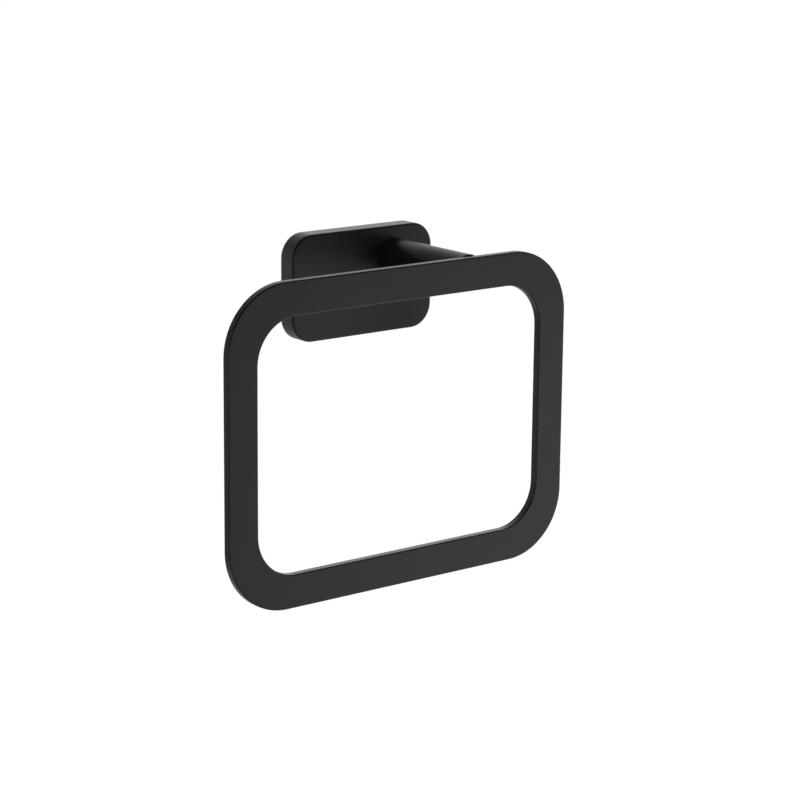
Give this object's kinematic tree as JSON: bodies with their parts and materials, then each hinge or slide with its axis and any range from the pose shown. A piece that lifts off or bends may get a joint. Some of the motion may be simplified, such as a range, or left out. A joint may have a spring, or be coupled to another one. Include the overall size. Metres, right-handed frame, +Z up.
{
  "type": "towel ring",
  "caption": "Wall-mounted towel ring: a flat closed rectangular band with round corners, carried by an off-centre round post on a rounded hollow wall plate over a concealed bracket.",
  "frame": {"origin": "middle of the wall plate's outline on the wall's surface, on the back face of the wall bracket", "axes": "+Z up, +Y into the wall, +X to the right for someone who faces the wall"},
  "size_m": [0.185, 0.067, 0.1495],
  "materials": {
    "black_powder_coat": "matt, fine texture",
    "zinc_plated_steel": "satin",
    "stainless_steel": "satin",
    "black_oxide_steel": "satin black"
  },
  "bodies": {
    "root": {"ring_frame": "black_powder_coat", "ring_stud": "stainless_steel", "ring_pin": "stainless_steel", "post": "black_powder_coat", "plate_pin": "stainless_steel", "wall_plate": "black_powder_coat", "flat_washer": "zinc_plated_steel", "lock_washer": "zinc_plated_steel", "post_nut": "zinc_plated_steel", "wall_bracket": "zinc_plated_steel", "grub_screw": "black_oxide_steel"}
  },
  "joints": []
}
